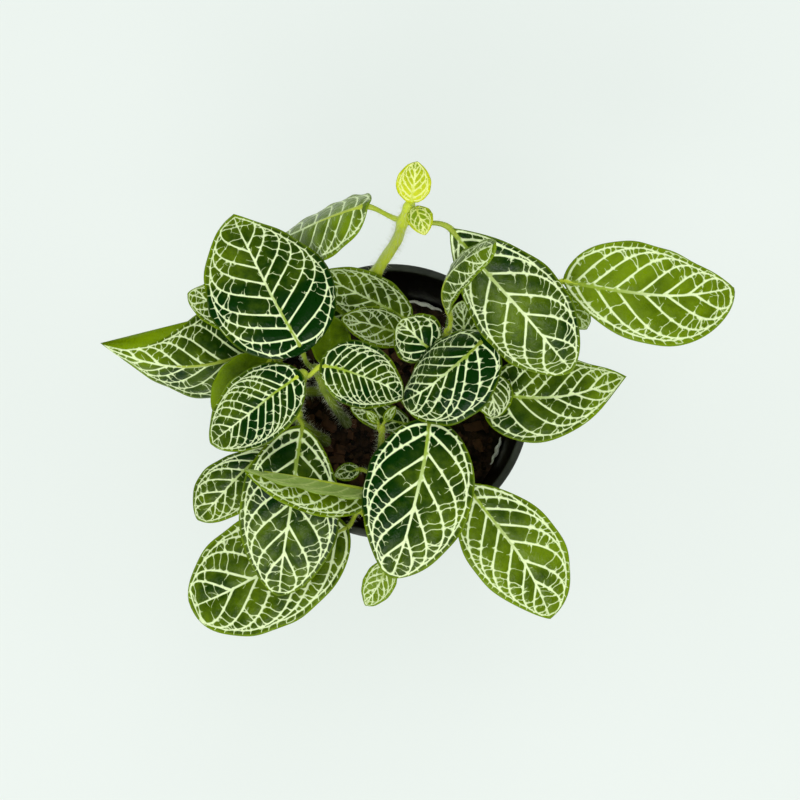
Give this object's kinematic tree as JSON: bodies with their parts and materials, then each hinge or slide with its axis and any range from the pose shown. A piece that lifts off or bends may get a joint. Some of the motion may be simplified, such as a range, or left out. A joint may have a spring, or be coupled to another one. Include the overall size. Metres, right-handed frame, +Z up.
{
  "type": "potted plant",
  "caption": "Small potted nerve plant: a tapered round nursery pot filled with soil, with soft stems and broad oval leaves netted with pale veins.",
  "frame": {"origin": "centre of the pot's flat base, on the surface it stands on", "axes": "+Z up along the pot's axis, +Y to the plant's back where the tallest stem leans over the rim, +X to the plant's right where one leaf reaches farthest out"},
  "size_m": [0.2315, 0.1534, 0.1807],
  "materials": {
    "pot": "moulded black plastic, satin on the rim",
    "soil": "dark potting soil with bits of bark",
    "stem": "soft green stem with short white hairs",
    "leaf": "dark green leaf with a cream vein net, satin",
    "young_leaf": "bright yellow-green young leaf"
  },
  "bodies": {
    "root": {"leaf_a1": "leaf", "leaf_a2": "leaf", "leaf_a3": "leaf", "leaf_b1": "leaf", "leaf_b2": "leaf", "leaf_b3": "young_leaf", "leaf_b4": "young_leaf", "leaf_b5": "leaf", "leaf_c1": "leaf", "leaf_c2": "leaf", "leaf_c3": "leaf", "leaf_d1": "leaf", "leaf_d2": "leaf", "leaf_e1": "leaf", "leaf_e2": "leaf", "leaf_f1": "leaf", "leaf_f2": "leaf", "leaf_f3": "leaf", "leaf_f4": "leaf", "leaf_g1": "leaf", "leaf_g2": "leaf", "leaf_h1": "leaf", "leaf_h2": "leaf", "leaf_j1": "leaf", "leaf_j2": "leaf", "leaf_j3": "leaf", "leaf_j4": "leaf", "leaf_j5": "leaf", "leaf_k1": "young_leaf", "leaf_k2": "young_leaf", "leaf_m1": "leaf", "leaf_m2": "leaf", "leaf_n1": "leaf", "leaf_n2": "leaf", "pot": "pot", "soil": "soil", "stem_a": "stem", "stem_b": "stem", "stem_c": "stem", "stem_d": "stem", "stem_e": "stem", "stem_f": "stem", "stem_g": "stem", "stem_h": "stem", "stem_j": "stem", "stem_k": "stem", "stem_m": "stem", "stem_n": "stem"}
  },
  "joints": []
}
